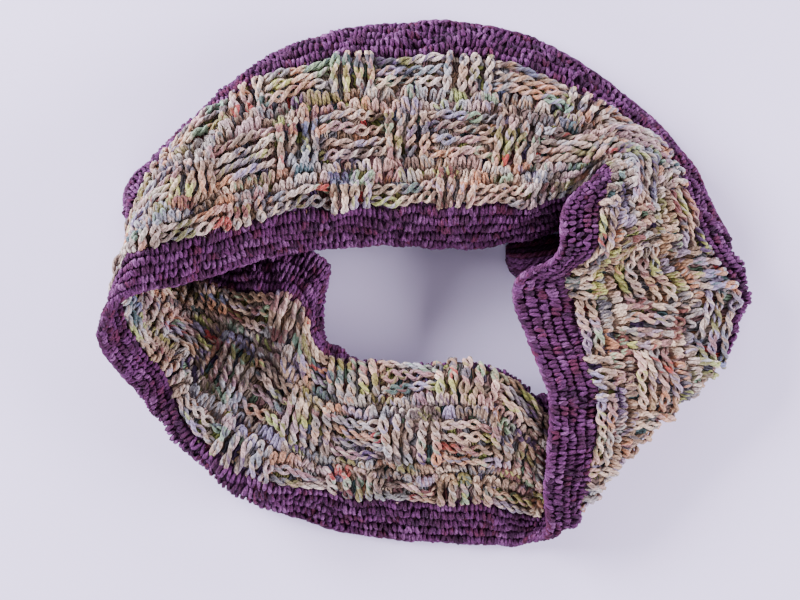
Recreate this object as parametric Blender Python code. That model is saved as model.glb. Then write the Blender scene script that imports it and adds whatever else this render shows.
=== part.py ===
"""Infinity scarf: a crocheted tube, dropped and partly flattened, as closed solids.

The tube is one band of basketweave crochet with a plum border along each edge. It is described by
sections across the cloth, from the base edge, which faces +Y, to the upper edge, and each piece is
a wall that follows the surface through those sections. Metres, +Z up. The origin is on the surface
that the scarf lies on, under the middle of its bounding box.
"""

from collections import namedtuple

import bmesh
import bpy
import numpy as np
from mathutils import Matrix

# Driving dimensions, in millimetres unless a name says otherwise.
MM = 0.001  # metres in a millimetre
BODY_WALL = 5.0
BORDER_WALL = 4.4
BORDER_SHARE = 0.20  # each border's share of the cloth's width, about 24 mm
SEAM_GAP = 0.3
BLOCK_RELIEF = 0.9  # how far a block of the basketweave stands out
BLOCK_PAIRS = 14  # pairs of a raised and a sunk block round the loop
BLOCK_BANDS = 3  # bands of blocks across the body
COLUMN = 5.9  # length of one column of faces along the loop
BODY_ROWS = 13
BORDER_ROWS = 3
TURN_SOFTNESS = 7.0  # rounding of the corners of a section
LOOP_SOFTNESS = 4.0  # rounding along the loop
FLAT_BELOW = 5.0  # cloth whose middle is lower than this lies flat on the surface
FLAT_BLEND = 6.0  # height over which the flat cloth passes into the free shape
REST_BELOW = 1.3  # a skin lower than this rests on the surface

# Fineness of the surface that the walls are read from.
STEPS_PER_SECTION = 12
RING_POINTS = 560
WIDTH_POINTS = 41
LINE_POINTS = 121
BELL_REACH = 3  # a smoothing bell ends at this many times its width

Cut = namedtuple("Cut", "name base rise low high fall upper")
# Sections round the loop, in the order of the stitches: the back from right to left, the left turn,
# the front from left to right, the folded corner, the right side and the pleat at its upper end.
SECTIONS = [
    Cut("back3", (-15, 142, 3), (-15, 127, 18), (-16, 100, 23),
        (-16, 70, 26), (-16, 39, 30), (-17, 21, 13)),
    Cut("back4", (-53, 136.5, 3), (-51, 122, 19), (-51, 96, 26),
        (-52, 66, 30), (-53, 36, 34), (-54, 19, 18)),
    Cut("back5", (-92, 119, 3), (-88, 104, 22), (-88, 83, 31),
        (-87, 57, 38), (-88, 29, 42), (-89, 13, 27)),
    Cut("back6", (-122, 94, 3), (-118, 83, 26), (-116, 67, 40),
        (-115, 44, 48), (-116, 20, 51), (-118, 3, 41)),
    Cut("left1", (-145, 73, 3), (-137, 66, 28), (-136, 52, 47),
        (-137, 34, 59), (-139, 14, 62), (-141, -3, 57)),
    Cut("left2", (-163, 56, 3), (-150, 47, 20), (-147, 36, 39),
        (-148, 22, 55), (-151, 7, 62), (-152, -7, 62)),
    Cut("left3", (-165, 41, 3), (-159, 29, 14), (-156, 18, 27),
        (-156, 6, 41), (-157, -6, 52), (-162, -19, 62)),
    Cut("left4", (-150, 26, 3), (-153, 16, 10), (-152, 4, 20),
        (-150, -7, 32), (-150, -19, 45), (-164, -30, 58)),
    Cut("left5", (-136, 19, 3), (-141, 7, 6), (-143, -9, 14),
        (-145, -22, 27), (-149, -33, 40), (-162, -40, 52)),
    Cut("left6", (-122, 18, 4), (-127, 2, 8), (-132, -21, 10),
        (-137, -38, 22), (-146, -48, 31), (-156, -50, 43)),
    Cut("left7", (-106, 19, 7), (-111, -1, 14), (-118, -29, 10),
        (-128, -50, 20), (-143, -60, 31), (-151, -62, 32)),
    Cut("left8", (-88, 20, 12), (-94, -2, 22), (-102, -32, 15),
        (-113, -57, 22), (-134, -75, 29), (-139, -77, 12)),
    Cut("left9", (-68, 19, 13), (-79, -3, 25), (-86, -31, 22),
        (-96, -61, 22), (-115, -94, 24), (-118, -98, 4)),
    Cut("front1", (-53, 10, 9), (-66, -4, 23), (-73, -31, 26),
        (-82, -63, 25), (-97, -105, 24), (-102, -111, 3)),
    Cut("front2", (-57, 0, 5), (-65, -12, 20), (-68, -34, 28),
        (-74, -64, 26), (-85, -108, 22), (-91, -119, 3)),
    Cut("front3", (-57, -24, 4), (-57, -18, 20), (-60, -39, 29),
        (-63, -66, 26), (-67, -97, 18), (-69, -126, 3)),
    Cut("front4", (-48, -44, 4), (-51, -28, 19), (-48, -44, 29),
        (-47, -70, 27), (-46, -99, 18), (-46, -133, 3)),
    Cut("front5", (-31, -61, 4), (-31, -38, 19), (-28, -51, 30),
        (-27, -76, 28), (-25, -103, 18), (-24, -136, 3)),
    Cut("front6", (-2, -62, 4), (-1, -38, 20), (-1, -52, 32),
        (0, -78, 29), (1, -105, 18), (2, -138, 3)),
    Cut("front7", (30, -62, 4), (29, -39, 19), (29, -54, 30),
        (28, -80, 27), (28, -108, 16), (28, -139, 3)),
    Cut("fold1", (57, -62, 3), (57, -53, 13), (56, -82, 19),
        (57, -110, 11), (53, -127, 6), (48, -139, 4.5)),
    Cut("fold2", (74, -39, 3), (73, -67, 9), (75, -116, 5),
        (75, -129, 9), (68, -132, 14), (60, -128, 16)),
    Cut("fold3", (91, -28, 3), (90, -67, 4), (85, -113, 3),
        (84, -113, 14), (70, -113, 19), (57, -109, 22)),
    Cut("fold4", (115, -20, 3), (114, -52, 3), (113, -81, 3),
        (112, -81, 14), (86, -79, 22), (59, -80, 28)),
    Cut("fold5", (139, -18, 3), (141, -37, 3), (141, -54, 3),
        (140, -55, 16), (100, -54, 23), (58, -54, 29)),
    Cut("fold6", (152, -19, 3), (154, -29, 3), (155, -39, 4.5),
        (153, -42, 17), (103, -39, 22), (53, -40, 27)),
    Cut("fold7", (157, -13, 5), (162, -20, 8), (161, -26, 12.5),
        (154, -30, 15), (104, -29, 20), (48, -28, 24)),
    Cut("right1", (156, -7, 3), (168, -11, 11), (152, -13, 14),
        (133, -16, 16), (91, -17, 19), (44, -17, 21)),
    Cut("right2", (160, 4, 3), (170, 1, 12), (143, -2, 16),
        (108, -4, 17), (76, -6, 18), (41, -7, 20)),
    Cut("right3", (165, 15, 3), (160, 15, 14), (137, 13, 18),
        (107, 9, 21), (74, 5, 24), (42, 3, 24)),
    Cut("right4", (159, 26, 3), (147, 26, 15), (130, 23, 21),
        (107, 20, 27), (84, 14, 33), (55, 9, 31)),
    Cut("pleat1", (153, 36, 3), (140, 34, 16), (124, 32, 23),
        (106, 27, 31), (90, 22, 36), (64, 17, 35)),
    Cut("pleat2", (148, 46, 3), (135, 43, 16), (120, 40, 24),
        (105, 36, 31), (92, 32, 36), (63, 30, 38)),
    Cut("pleat3", (144, 56, 3), (131, 52, 16), (117, 49, 24),
        (103, 44, 30), (91, 40, 35), (65, 40, 38)),
    Cut("pleat4", (139, 65, 3), (126, 60, 16), (113, 55, 24),
        (101, 52, 30), (90, 51, 34), (73, 48, 36)),
    Cut("pleat5", (132, 73, 3), (120, 68, 16), (107, 64, 24),
        (97, 62, 29), (90, 61, 31), (84, 52, 28)),
    Cut("pleat6", (124, 83, 3), (112, 77, 16), (99, 72, 24),
        (88, 68, 27), (80, 62, 24), (87, 47, 14)),
    Cut("pleat7", (112, 94, 3), (101, 86, 16), (88, 77, 24),
        (76, 67, 27), (71, 55, 24), (77, 34, 10)),
    Cut("pleat8", (96, 107, 3), (88, 96, 16), (77, 82, 23),
        (66, 66, 27), (59, 49, 27), (60, 27, 16)),
    Cut("back0", (76, 121, 3), (69, 107, 17), (62, 90, 24),
        (54, 67, 27), (46, 42, 30), (42, 23, 15)),
    Cut("back1", (49, 134, 3), (44, 118, 18), (39, 97, 23),
        (33, 70, 26), (27, 40, 30), (22, 20, 13)),
    Cut("back2", (14, 141, 3), (12, 126, 18), (10, 99, 23),
        (7, 70, 26), (5, 39, 30), (3, 20, 13)),
]

Stretch = namedtuple("Stretch", "name first last fineness")
STRETCHES = [
    Stretch("left", "back6", "left9", 1.0),
    Stretch("front", "left9", "front7", 1.0),
    Stretch("corner", "front7", "right1", 1.5),
    Stretch("right", "right1", "pleat8", 1.0),
    Stretch("back", "pleat8", "back6", 0.9),
]

Band = namedtuple("Band", "name start end rows wall material")
BANDS = [
    Band("base_border", 0.0, BORDER_SHARE, BORDER_ROWS, BORDER_WALL, "plum_yarn"),
    Band("body", BORDER_SHARE, 1.0 - BORDER_SHARE, BODY_ROWS, BODY_WALL, "mixed_yarn"),
    Band("upper_border", 1.0 - BORDER_SHARE, 1.0, BORDER_ROWS, BORDER_WALL, "plum_yarn"),
]

TuckRow = namedtuple("TuckRow", "x south north height")
# The fold of the lower layer that lies on the surface under the pleat, from west to east.
TUCK_ROWS = [
    TuckRow(39, 14, 21, 5.0),
    TuckRow(41, 7, 23, 6.5),
    TuckRow(46, 3, 25, 8.0),
    TuckRow(54, 3, 26, 8.5),
    TuckRow(62, 5, 27, 8.5),
    TuckRow(70, 8, 28, 8.0),
    TuckRow(77, 13, 28, 6.0),
    TuckRow(81, 18, 26, 4.0),
]
TUCK_COLUMNS = 7
TUCK_EDGE = 0.45  # height of the fold's edge as a share of its full height

Yarn = namedtuple("Yarn", "colour roughness")
YARNS = {
    "plum_yarn": Yarn((0.105, 0.042, 0.140, 1.0), 0.9),
    "mixed_yarn": Yarn((0.400, 0.330, 0.290, 1.0), 0.9),
}


def clear_scene():
    for item in list(bpy.data.objects):
        bpy.data.objects.remove(item, do_unlink=True)


def make_yarns():
    """One matte material for each yarn."""
    for name, yarn in YARNS.items():
        material = bpy.data.materials.new(name)
        material.use_nodes = True
        shader = material.node_tree.nodes["Principled BSDF"]
        shader.inputs["Base Color"].default_value = yarn.colour
        shader.inputs["Roughness"].default_value = yarn.roughness
        shader.inputs["Metallic"].default_value = 0.0


def lines_round():
    """The six lines along the loop, smoothed between the sections: samples x 6 x 3."""
    rows = np.array([row[1:] for row in SECTIONS], float)
    points = np.concatenate([rows[-1:], rows, rows[:2]])
    gap = np.linalg.norm(np.diff(points, axis=0), axis=2).mean(axis=1) ** 0.5
    knot = np.concatenate([[0.0], np.cumsum(gap)])
    samples = []
    for i in range(1, len(rows) + 1):
        before, here, after, beyond = points[i - 1 : i + 3]
        t0, t1, t2, t3 = knot[i - 1 : i + 3]
        leave = (here - before) / (t1 - t0) - (after - before) / (t2 - t0) + (after - here) / (t2 - t1)
        reach = (after - here) / (t2 - t1) - (beyond - here) / (t3 - t1) + (beyond - after) / (t3 - t2)
        for s in np.arange(STEPS_PER_SECTION) / STEPS_PER_SECTION:
            samples.append(
                (2 * s**3 - 3 * s**2 + 1) * here
                + (3 * s**2 - 2 * s**3) * after
                + (t2 - t1) * ((s**3 - 2 * s**2 + s) * leave + (s**3 - s**2) * reach)
            )
    return np.array(samples)


def evenly(line, count):
    """The same line with count points at equal distances along it."""
    along = np.concatenate([[0.0], np.cumsum(np.linalg.norm(np.diff(line, axis=0), axis=1))])
    at = np.linspace(0.0, along[-1], count)
    return np.stack([np.interp(at, along, line[:, axis]) for axis in range(3)], axis=1)


def bell(reach, width):
    """Weights of a normal curve, from -reach to reach."""
    weights = np.exp(-0.5 * (np.arange(-reach, reach + 1) / width) ** 2)
    return weights / weights.sum()


def rounded(line, softness):
    """An open line with its corners rounded and its ends kept."""
    step = np.linalg.norm(np.diff(line, axis=0), axis=1).sum() / (len(line) - 1)
    reach = min(len(line) - 1, int(np.ceil(BELL_REACH * softness / step)))
    head = 2 * line[0] - line[1 : reach + 1][::-1]
    tail = 2 * line[-1] - line[-reach - 1 : -1][::-1]
    padded = np.concatenate([head, line, tail])
    weights = bell(reach, softness / step)
    return np.stack([np.convolve(padded[:, axis], weights, "valid") for axis in range(3)], axis=1)


def settled(points):
    """Cloth near the surface that it lies on is pressed flat against it."""
    z = points[..., 2]
    rise = np.clip((z - FLAT_BELOW) / FLAT_BLEND, 0.0, 1.0)
    ease = rise * rise * (3.0 - 2.0 * rise)
    pressed = BORDER_WALL / 2 + np.maximum(z - FLAT_BELOW, 0.0)
    result = points.copy()
    result[..., 2] = pressed * (1.0 - ease) + z * ease
    return result


def cloth_surface():
    """The middle of the cloth, its outward normals, and where each section falls round the loop."""
    softened = [rounded(evenly(line, LINE_POINTS), TURN_SOFTNESS) for line in lines_round()]
    across = np.array([evenly(line, WIDTH_POINTS) for line in softened])
    closed = np.concatenate([across, across[:1]])
    length = np.linalg.norm(np.diff(closed, axis=0), axis=2).mean(axis=1)
    along = np.concatenate([[0.0], np.cumsum(length)])
    at = np.arange(RING_POINTS) / RING_POINTS * along[-1]
    before = np.searchsorted(along, at, side="right") - 1
    part = ((at - along[before]) / length[before])[:, None, None]
    even = closed[before] * (1.0 - part) + closed[before + 1] * part
    width = LOOP_SOFTNESS * RING_POINTS / along[-1]
    reach = int(np.ceil(BELL_REACH * width))
    middle = sum(w * np.roll(even, k - reach, axis=0) for k, w in enumerate(bell(reach, width)))
    middle = settled(middle)
    round_it = np.roll(middle, -1, axis=0) - np.roll(middle, 1, axis=0)
    normal = np.cross(round_it, np.gradient(middle, axis=1))
    normal /= np.linalg.norm(normal, axis=2, keepdims=True)
    places = {row.name: along[i * STEPS_PER_SECTION] / along[-1] for i, row in enumerate(SECTIONS)}
    return middle, normal, places, along[-1]


def read(grid, u, v):
    """Values of a grid at fractions u round the loop and v across the cloth, for every pair."""
    a = (u % 1.0) * RING_POINTS
    b = v * (WIDTH_POINTS - 1)
    i = np.floor(a).astype(int) % RING_POINTS
    j = np.minimum(np.floor(b).astype(int), WIDTH_POINTS - 2)
    s = (a - np.floor(a))[:, None, None]
    t = (b - j)[None, :, None]
    near = grid[i][:, j] * (1 - t) + grid[i][:, j + 1] * t
    far = grid[(i + 1) % RING_POINTS][:, j] * (1 - t) + grid[(i + 1) % RING_POINTS][:, j + 1] * t
    return near * (1 - s) + far * s


def basketweave(u, v):
    """1 where a block of posts stands out on the outer face, 0 where it sinks: bricks in bands."""
    share = (v - BORDER_SHARE) / (1.0 - 2.0 * BORDER_SHARE)
    band = np.clip(np.floor(share * BLOCK_BANDS), 0, BLOCK_BANDS - 1)
    along = np.sin(2 * np.pi * (u[:, None] * BLOCK_PAIRS + 0.5 * (band[None, :] % 2)))
    between = np.abs(np.sin(np.pi * share * BLOCK_BANDS))[None, :]
    return np.clip(0.5 + along * between, 0.0, 1.0)


def edge_faces(solid, top_here, top_next, low_here, low_next, forward):
    """Two triangles across a wall's edge, split the same way on both sides of a seam."""
    for corners in ((top_here, top_next, low_next), (top_here, low_next, low_here)):
        solid.faces.new(corners if forward else corners[::-1])


def wall(name, outer, inner, material):
    """A closed solid between two matching grids of points."""
    rows, columns = outer.shape[:2]
    mesh = bpy.data.meshes.new(name)
    solid = bmesh.new()
    top = [[solid.verts.new(point * MM) for point in line] for line in outer]
    low = [[solid.verts.new(point * MM) for point in line] for line in inner]
    for i in range(rows - 1):
        for j in range(columns - 1):
            solid.faces.new((top[i][j], top[i + 1][j], top[i + 1][j + 1], top[i][j + 1]))
            solid.faces.new((low[i][j], low[i][j + 1], low[i + 1][j + 1], low[i + 1][j]))
    for i in range(rows - 1):
        edge_faces(solid, top[i][0], top[i + 1][0], low[i][0], low[i + 1][0], False)
        edge_faces(solid, top[i][-1], top[i + 1][-1], low[i][-1], low[i + 1][-1], True)
    for j in range(columns - 1):
        edge_faces(solid, top[0][j], top[0][j + 1], low[0][j], low[0][j + 1], True)
        edge_faces(solid, top[-1][j], top[-1][j + 1], low[-1][j], low[-1][j + 1], False)
    solid.to_mesh(mesh)
    solid.free()
    mesh.materials.append(bpy.data.materials[material])
    piece = bpy.data.objects.new(name, mesh)
    bpy.context.scene.collection.objects.link(piece)
    mesh.shade_smooth()
    return piece


def skin(points, normals, depth, side):
    """One skin of a wall: depth along the normals on one side, and flat where it meets the surface."""
    fall = np.maximum(-side * normals[..., 2], 1e-6)
    result = points + side * normals * np.minimum(depth, points[..., 2] / fall)[..., None]
    result[..., 2] = np.where(result[..., 2] < REST_BELOW, 0.0, result[..., 2])
    return result


def build_piece(stretch, band, cloth):
    middle, normal, places, loop = cloth
    first = places[stretch.first]
    last = places[stretch.last]
    if last < first:
        last += 1.0
    gap_round = SEAM_GAP / 2 / loop
    gap_across = SEAM_GAP / 2 / np.linalg.norm(np.diff(middle, axis=1), axis=2).sum(axis=1).mean()
    columns = round((last - first) * loop / COLUMN * stretch.fineness)
    rows = round(band.rows * stretch.fineness) if band.name == "body" else band.rows
    u = np.linspace(first + gap_round, last - gap_round, columns + 1)
    low = band.start + (gap_across if band.start > 0.0 else 0.0)
    high = band.end - (gap_across if band.end < 1.0 else 0.0)
    v = np.linspace(low, high, rows + 1)
    points = read(middle, u, v)
    normals = read(normal, u, v)
    normals /= np.linalg.norm(normals, axis=2, keepdims=True)
    outer = np.full(points.shape[:2], band.wall / 2)
    inner = outer.copy()
    if band.name == "body":
        raised = basketweave(u, v)
        outer += BLOCK_RELIEF * (raised - 0.5)
        inner += BLOCK_RELIEF * (0.5 - raised)
    outside = skin(points, normals, outer, 1.0)
    inside = skin(points, normals, inner, -1.0)
    return wall(band.name + "_" + stretch.name, outside, inside, band.material)


def build_tuck():
    """The hidden fold under the pleat: a low rounded solid, flat where it rests."""
    share = np.linspace(0.0, 1.0, TUCK_COLUMNS)
    crown = TUCK_EDGE + (1.0 - TUCK_EDGE) * np.sin(np.pi * share)
    top = [
        [(row.x, row.south + (row.north - row.south) * t, row.height * c) for t, c in zip(share, crown)]
        for row in TUCK_ROWS
    ]
    top = np.array(top, float)
    return wall("pleat_tuck", top, top * (1.0, 1.0, 0.0), "plum_yarn")


def centre(pieces):
    """Moves the pieces together, so that the origin is under the middle of their box."""
    points = np.array([vertex.co for piece in pieces for vertex in piece.data.vertices])
    middle = (points.min(axis=0) + points.max(axis=0)) / 2
    for piece in pieces:
        piece.data.transform(Matrix.Translation((-middle[0], -middle[1], 0.0)))


clear_scene()
make_yarns()
cloth = cloth_surface()
pieces = [build_piece(stretch, band, cloth) for stretch in STRETCHES for band in BANDS]
pieces.append(build_tuck())
centre(pieces)
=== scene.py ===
"""Looks of the infinity scarf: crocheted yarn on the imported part, a pale floor and soft light.

The middle of the cloth is worked out from the same sections as the part's solids. On both faces of
it lie strands of yarn: the ropes, posts and short loops of the basketweave body, and the single
crochet of both borders. Lengths are in millimetres unless a name says otherwise.
"""

from collections import namedtuple

import bpy
import numpy as np
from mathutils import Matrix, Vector


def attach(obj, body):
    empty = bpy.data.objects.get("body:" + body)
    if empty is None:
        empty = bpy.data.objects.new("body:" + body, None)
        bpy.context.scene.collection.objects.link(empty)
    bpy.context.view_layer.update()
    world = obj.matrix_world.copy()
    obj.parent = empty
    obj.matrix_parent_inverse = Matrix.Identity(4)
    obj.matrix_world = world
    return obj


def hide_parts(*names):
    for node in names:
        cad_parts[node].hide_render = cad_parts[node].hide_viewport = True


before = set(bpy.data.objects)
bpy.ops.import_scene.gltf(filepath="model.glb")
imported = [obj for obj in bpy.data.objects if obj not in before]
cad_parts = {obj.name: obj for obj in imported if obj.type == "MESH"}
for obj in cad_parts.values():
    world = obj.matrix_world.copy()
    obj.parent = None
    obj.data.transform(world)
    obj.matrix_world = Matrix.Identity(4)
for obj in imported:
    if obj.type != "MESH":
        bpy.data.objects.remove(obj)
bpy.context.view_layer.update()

MM = 0.001  # metres in a millimetre


# The cloth's middle. It is as in the part's source except at four edges: the outer edge of the
# left turn, the base border at the back's left end, the front's edge at the opening, and the
# underside of the right edge. There the yarn lies up to 13 mm off the middle of the solids.
TURN_SOFTNESS = 7.0  # rounding of the corners of a section
LOOP_SOFTNESS = 4.0  # rounding along the loop
FLAT_BELOW = 5.0  # cloth whose middle is lower than this lies flat on the surface
FLAT_BLEND = 6.0  # height over which the flat cloth passes into the free shape
FLAT_HEIGHT = 2.2  # height of the middle of flat cloth
ORIGIN = (0.186, 1.287, 0.0)  # the part's origin among the sections

# Fineness of the cloth's middle.
STEPS_PER_SECTION = 12
RING_POINTS = 560
WIDTH_POINTS = 41
LINE_POINTS = 121
BELL_REACH = 3  # a smoothing bell ends at this many times its width

Cut = namedtuple("Cut", "name base rise low high fall upper")
SECTIONS = [
    Cut("back3", (-15, 140.5, 3), (-15, 125, 18), (-16, 99, 23),
        (-16, 68, 26), (-16, 38.5, 30), (-17, 22, 9)),
    Cut("back4", (-53, 135, 3), (-52, 127, 20), (-51, 98, 27),
        (-52, 67, 30), (-53, 36.5, 34), (-54, 20, 14)),
    Cut("back5", (-92, 119.5, 3), (-91, 111, 23), (-88, 86, 32),
        (-87, 58, 38), (-88, 30, 42), (-89, 14, 24)),
    Cut("back6", (-122, 94, 3), (-120, 87, 26), (-117, 68, 40),
        (-115, 45, 48), (-116, 20, 51), (-118, 3, 41)),
    Cut("left1", (-145, 73, 3), (-137, 66, 28), (-136, 52, 47),
        (-137, 34, 59), (-139, 14, 62), (-141, -3, 57)),
    Cut("left2", (-163, 56, 3), (-150, 47, 20), (-147, 36, 39),
        (-148, 22, 55), (-151, 7, 62), (-152, -7, 62)),
    Cut("left3", (-165, 41, 3), (-159, 29, 14), (-156, 18, 27),
        (-156, 6, 41), (-157, -6, 52), (-162, -19, 62)),
    Cut("left4", (-150, 26, 3), (-153, 16, 10), (-152, 4, 20),
        (-150, -7, 32), (-150, -19, 45), (-164, -30, 58)),
    Cut("left5", (-136, 19, 3), (-141, 7, 6), (-143, -9, 14),
        (-146, -23, 28), (-151, -34, 43), (-160, -40, 49)),
    Cut("left6", (-122, 18, 4), (-127, 2, 8), (-132, -21, 10),
        (-139, -40, 24), (-150, -49, 38), (-155, -50, 37)),
    Cut("left7", (-106, 19, 7), (-111, -1, 14), (-118, -29, 10),
        (-131, -52, 22), (-147, -62, 35), (-147, -61, 21)),
    Cut("left8", (-88, 20, 12), (-94, -2, 22), (-102, -32, 15),
        (-115, -58, 24), (-136, -76, 32), (-136, -75, 9)),
    Cut("left9", (-68, 19, 13), (-79, -3, 25), (-86, -31, 22),
        (-97, -63, 23), (-118, -97, 28), (-117, -97, 4)),
    Cut("front1", (-54, 9, 9), (-66, -4, 23), (-73, -31, 26),
        (-83, -65, 26), (-100, -109, 26), (-102, -111, 3)),
    Cut("front2", (-60, -2, 5), (-65, -12, 20), (-68, -34, 28),
        (-75, -66, 27), (-86, -111, 24), (-91, -119, 3)),
    Cut("front3", (-60, -31, 4), (-59, -27, 13), (-60, -34, 28),
        (-63, -67, 26), (-68, -100, 19), (-69, -126, 3)),
    Cut("front4", (-48, -47, 4), (-51, -34, 14), (-49, -40, 28),
        (-47, -70, 27), (-46, -99, 18), (-46, -133, 3)),
    Cut("front5", (-31, -61, 4), (-31, -38, 19), (-28, -51, 30),
        (-27, -76, 28), (-25, -103, 18), (-24, -136, 3)),
    Cut("front6", (-2, -62, 4), (-1, -38, 20), (-1, -52, 32),
        (0, -78, 29), (1, -105, 18), (2, -138, 3)),
    Cut("front7", (30, -62, 4), (29, -39, 19), (29, -54, 30),
        (28, -80, 27), (28, -108, 16), (28, -139, 3)),
    Cut("fold1", (57, -66, 3), (57, -57, 12), (56, -82, 19),
        (57, -110, 11), (53, -127, 6), (48, -139, 4.5)),
    Cut("fold2", (74, -39, 3), (73, -67, 9), (75, -116, 5),
        (75, -129, 9), (68, -132, 14), (60, -128, 16)),
    Cut("fold3", (91, -28, 3), (90, -67, 4), (85, -113, 3),
        (84, -113, 14), (70, -113, 19), (57, -109, 22)),
    Cut("fold4", (115, -20, 3), (114, -52, 3), (113, -81, 3),
        (112, -81, 14), (86, -79, 22), (59, -80, 28)),
    Cut("fold5", (139, -18, 3), (141, -37, 3), (141, -54, 3),
        (140, -55, 16), (100, -54, 23), (58, -54, 29)),
    Cut("fold6", (152, -19, 3), (154, -29, 3), (155, -39, 4.5),
        (153, -42, 17), (103, -39, 22), (53, -40, 27)),
    Cut("fold7", (146, -13, 4), (163, -20, 8), (161, -26, 12.5),
        (154, -30, 15), (104, -29, 20), (48, -28, 24)),
    Cut("right1", (143, -7, 3), (170, -11, 10), (154, -13, 15),
        (133, -16, 16), (91, -17, 19), (44, -17, 21)),
    Cut("right2", (148, 4, 3), (173, 1, 10), (148, -2, 17),
        (108, -4, 17), (76, -6, 18), (41, -7, 20)),
    Cut("right3", (156, 15, 3), (165, 15, 13), (139, 13, 19),
        (107, 9, 21), (74, 5, 24), (42, 3, 24)),
    Cut("right4", (159, 26, 3), (147, 26, 15), (130, 23, 21),
        (107, 20, 27), (84, 14, 33), (55, 9, 31)),
    Cut("pleat1", (153, 36, 3), (140, 34, 16), (124, 32, 23),
        (106, 27, 31), (90, 22, 36), (64, 17, 35)),
    Cut("pleat2", (148, 46, 3), (135, 43, 16), (120, 40, 24),
        (105, 36, 31), (92, 32, 36), (63, 30, 38)),
    Cut("pleat3", (144, 56, 3), (131, 52, 16), (117, 49, 24),
        (103, 44, 30), (91, 40, 35), (65, 40, 38)),
    Cut("pleat4", (139, 65, 3), (126, 60, 16), (113, 55, 24),
        (101, 52, 30), (90, 51, 34), (73, 48, 36)),
    Cut("pleat5", (132, 73, 3), (120, 68, 16), (107, 64, 24),
        (97, 62, 29), (90, 61, 31), (84, 52, 28)),
    Cut("pleat6", (124, 83, 3), (112, 77, 16), (99, 72, 24),
        (88, 68, 27), (80, 62, 24), (87, 47, 14)),
    Cut("pleat7", (112, 94, 3), (101, 86, 16), (88, 77, 24),
        (76, 67, 27), (71, 55, 24), (77, 34, 10)),
    Cut("pleat8", (96, 107, 3), (88, 96, 16), (77, 82, 23),
        (66, 66, 27), (59, 49, 27), (60, 27, 16)),
    Cut("back0", (76, 121, 3), (69, 107, 17), (62, 90, 24),
        (54, 67, 27), (46, 42, 30), (42, 23, 15)),
    Cut("back1", (49, 134, 3), (44, 118, 18), (39, 97, 23),
        (33, 70, 26), (27, 40, 30), (22, 20, 13)),
    Cut("back2", (14, 141, 3), (12, 126, 18), (10, 99, 23),
        (7, 70, 26), (5, 39, 30), (3, 20, 13)),
]

Stretch = namedtuple("Stretch", "name first last")
STRETCHES = [
    Stretch("left", "back6", "left9"),
    Stretch("front", "left9", "front7"),
    Stretch("corner", "front7", "right1"),
    Stretch("right", "right1", "pleat8"),
    Stretch("back", "pleat8", "back6"),
]

# The stitches. Across the cloth, b runs from the base edge, 0, to the upper edge, WIDTH.
WIDTH = 120.0
BORDER = 24.0
STITCHES = 126  # round the loop, in the body
REPEATS = 14  # of the basketweave round the loop
IN_REPEAT = STITCHES // REPEATS
POSTS = 4  # stitches of a repeat that are posts on the outer face; the rest are ropes
LOOP_STITCHES = 188  # short loops round the loop, in a row between the bands
BORDER_STITCHES = 172
BODY_ROWS = 13
BANDS = ((0, 3), (5, 9), (11, 13))  # first row of each band of blocks, and the row after its last
BLOCK_SHIFT = 0.25  # where the first band's blocks start, in repeats
LOOP_ROWS = (3, 4, 9, 10)  # the rows between the bands
ROW = (WIDTH - 2 * BORDER) / BODY_ROWS
BORDER_ROWS = 5
HALF = 0.5  # of a repeat or stitch, by which every other band or row is shifted

# Numbers of rows outside the body, which give each its own colours.
BORDER_DYE_ROW = 40
EDGE_DYE_ROW = 50
TUCK_DYE_ROW = 60

SIDES = 5  # of a strand's section
UNEVEN = 0.15  # how much the yarn's radius varies
SKEIN = 4000.0  # length of yarn from which each strand is taken at random
FLOOR_GAP = 0.05  # the lowest that any yarn lies
TINY = 1e-9  # keeps a direction of no length from a division by nothing
rng = np.random.default_rng(11)

# Handwork is uneven: slow waves move the stitches round the loop, across it and in and out.
Waves = namedtuple("Waves", "size shortest longest")
DRIFT = Waves(0.8, 25.0, 80.0)
PUCKER = Waves(0.9, 16.0, 45.0)
EDGE_PUCKER = 0.3  # share of the pucker that is left at the cloth's edges
WAVE_COUNT = 14

# Two strands twisted together: half their swing across and over the cloth, the height of their
# middle over the middle of the cloth, the yarn's radius, the distance between points, and the
# length of the dip at each end.
Twist = namedtuple("Twist", "swing lift height radius step dip")
ROPE = Twist(1.50, 0.85, 2.00, 1.15, 1.25, 2.2)
POST = Twist(1.50, 0.85, 2.50, 1.24, 1.25, 2.2)
EDGE_CHAIN = Twist(0.70, 0.90, 0.20, 1.20, 1.50, 1.0)

# A twisted pair wanders off its line, both strands together and each by itself.
Wander = namedtuple("Wander", "size reach")
PAIR_WANDER = Wander(0.35, 6.0)
STRAND_WANDER = Wander(0.2, 3.0)
SWINGS = (0.7, 1.2)  # least and most swing of a pair, as a share
TWIST_POINTS = 4  # of a strand, at least

# A spread is the standard deviation of a random distance.
LIFT_SPREAD = 0.2

# Ropes and posts.
ROPE_OVERLAP = 1.2  # how far a rope runs past its block
ROPE_SPREAD = 0.35
ROPE_PHASE = 0.12  # most difference between two ropes' twists, in half turns
POST_OVERLAP = 1.6
POST_SPREAD = 0.3
POST_SWING = 0.9  # of the swing of its twist
POST_TURNS = (1.0, 1.4)  # rows that a post's half turn may take

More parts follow.
